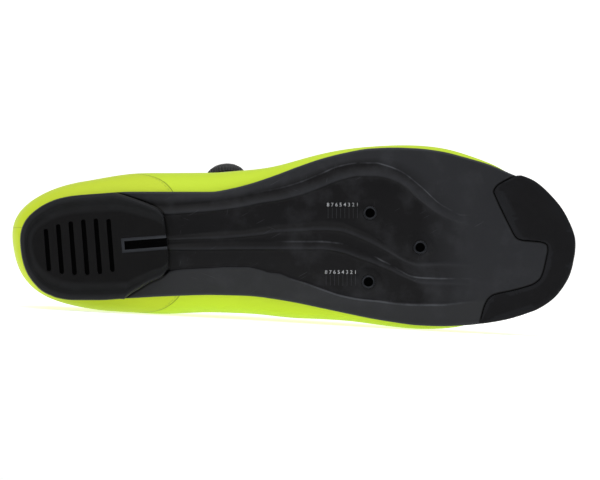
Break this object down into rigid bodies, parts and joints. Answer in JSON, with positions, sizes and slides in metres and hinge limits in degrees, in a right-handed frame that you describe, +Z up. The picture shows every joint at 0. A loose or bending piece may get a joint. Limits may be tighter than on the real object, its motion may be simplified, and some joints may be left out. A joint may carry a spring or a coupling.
{
  "type": "cycling shoe",
  "caption": "Low-cut road cycling shoe for the right foot, stiff ribbed sole with cleat bolt seats, rubber heel pad and toe bumper, and a dial lace.",
  "frame": {"origin": "bottom centre of the bounding box, on the surface the shoe lies on", "axes": "+X from heel to toe, the sole faces -Y, +Z up; the shoe lies on its inner side"},
  "size_m": [0.2926, 0.1172, 0.0965],
  "materials": {
    "composite_plate": "matt black moulded composite",
    "heel_rubber": "matt black rubber",
    "toe_rubber": "matt black rubber",
    "microfibre": "fluorescent yellow-green synthetic leather, satin",
    "tongue_fabric": "padded dark textile",
    "insole_foam": "foam footbed with a woven top",
    "insert_steel": "dark plated threaded insert",
    "dial_plastic": "black moulded plastic",
    "knob_plastic": "black moulded plastic, satin",
    "guide_plastic": "black moulded plastic",
    "lace_cord": "thin dark woven cord"
  },
  "bodies": {
    "root": {"cleat_insert_front": "insert_steel", "cleat_insert_inner": "insert_steel", "cleat_insert_outer": "insert_steel", "dial_base": "dial_plastic", "dial_knob": "knob_plastic", "guide_inner_low": "guide_plastic", "guide_inner_top": "guide_plastic", "guide_outer_top": "guide_plastic", "heel_pad": "heel_rubber", "insole": "insole_foam", "lace": "lace_cord", "lace_anchor": "guide_plastic", "outsole": "composite_plate", "toe_bumper": "toe_rubber", "tongue": "tongue_fabric", "upper": "microfibre"}
  },
  "joints": []
}
